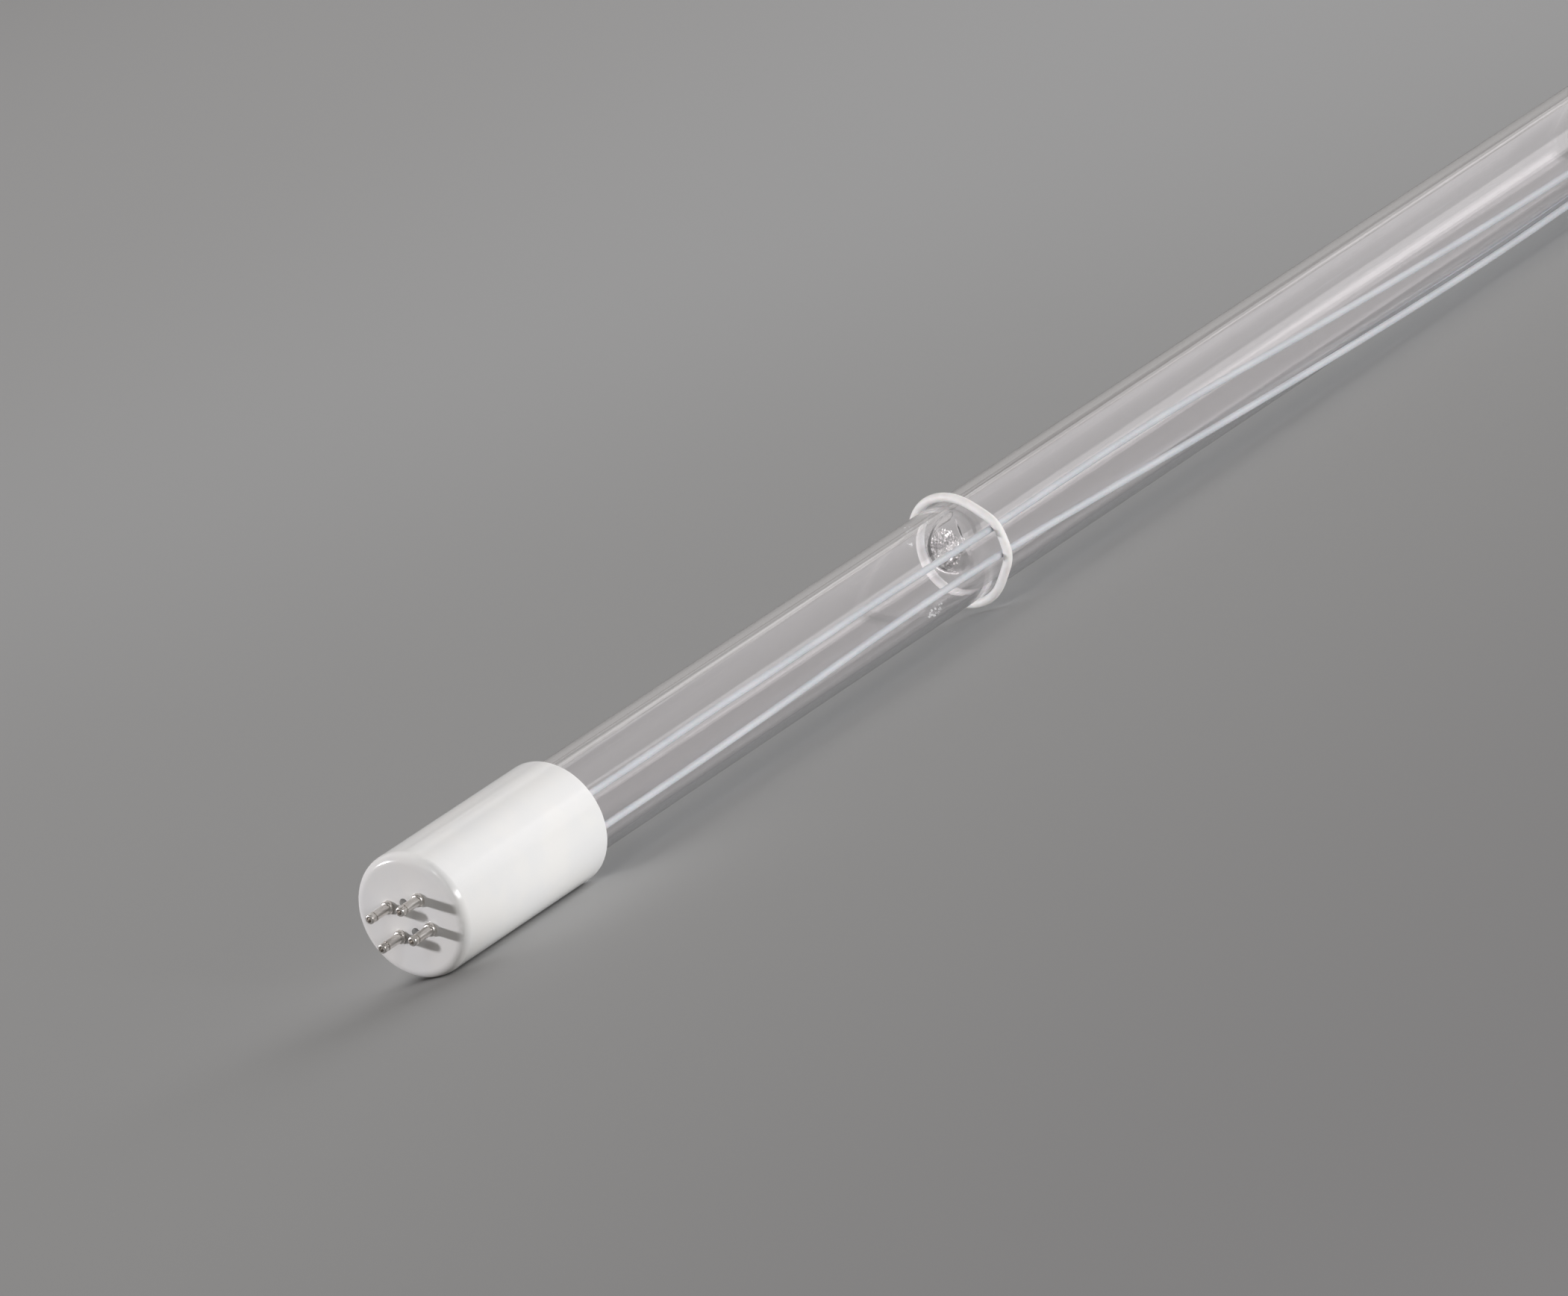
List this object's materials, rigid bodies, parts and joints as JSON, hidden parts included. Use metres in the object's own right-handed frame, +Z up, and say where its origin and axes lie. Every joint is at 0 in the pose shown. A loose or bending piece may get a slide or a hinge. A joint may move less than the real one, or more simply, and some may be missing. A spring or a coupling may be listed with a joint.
{
  "type": "uvc germicidal lamp tube",
  "caption": "Clear quartz germicidal lamp tube with a ceramic pin base at one end, a plain ceramic cap at the other, sleeved return leads along the outside and an amalgam blister.",
  "frame": {"origin": "centre of the base cap's front face, on the caps' axis, midway between the contact pins", "axes": "+X along the lamp from the pins to the far cap, +Y along the long rows of pins and away from the return leads, +Z up"},
  "size_m": [0.4629, 0.0243, 0.0235],
  "materials": {
    "ceramic": "smooth white glaze",
    "cement": "dull, fine-grained",
    "pin_metal": "bright nickel plate",
    "quartz": "clear, polished",
    "amalgam": "crinkled, bright silver",
    "molybdenum": "drawn metal",
    "tungsten": "dull dark grey, coated",
    "sleeve": "fine braid",
    "wire": "drawn nickel",
    "ring": "smooth white silicone"
  },
  "bodies": {
    "root": {"base_cap": "ceramic", "far_cap": "ceramic", "base_cement": "cement", "far_cement": "cement", "contact_pin_1": "pin_metal", "contact_pin_2": "pin_metal", "contact_pin_3": "pin_metal", "contact_pin_4": "pin_metal", "quartz_tube": "quartz", "amalgam_pellet": "amalgam", "near_seal_foil_1": "molybdenum", "near_seal_foil_2": "molybdenum", "near_filament_support_1": "molybdenum", "near_filament_support_2": "molybdenum", "near_seal_wire_1": "molybdenum", "near_seal_wire_2": "molybdenum", "near_filament": "tungsten", "far_seal_foil_1": "molybdenum", "far_seal_foil_2": "molybdenum", "far_filament_support_1": "molybdenum", "far_filament_support_2": "molybdenum", "far_seal_wire_1": "molybdenum", "far_seal_wire_2": "molybdenum", "far_filament": "tungsten", "lead_sleeve_1": "sleeve", "lead_core_1": "wire", "lead_splice_1": "pin_metal", "lead_sleeve_2": "sleeve", "lead_core_2": "wire", "lead_splice_2": "pin_metal", "retaining_ring": "ring"}
  },
  "joints": []
}
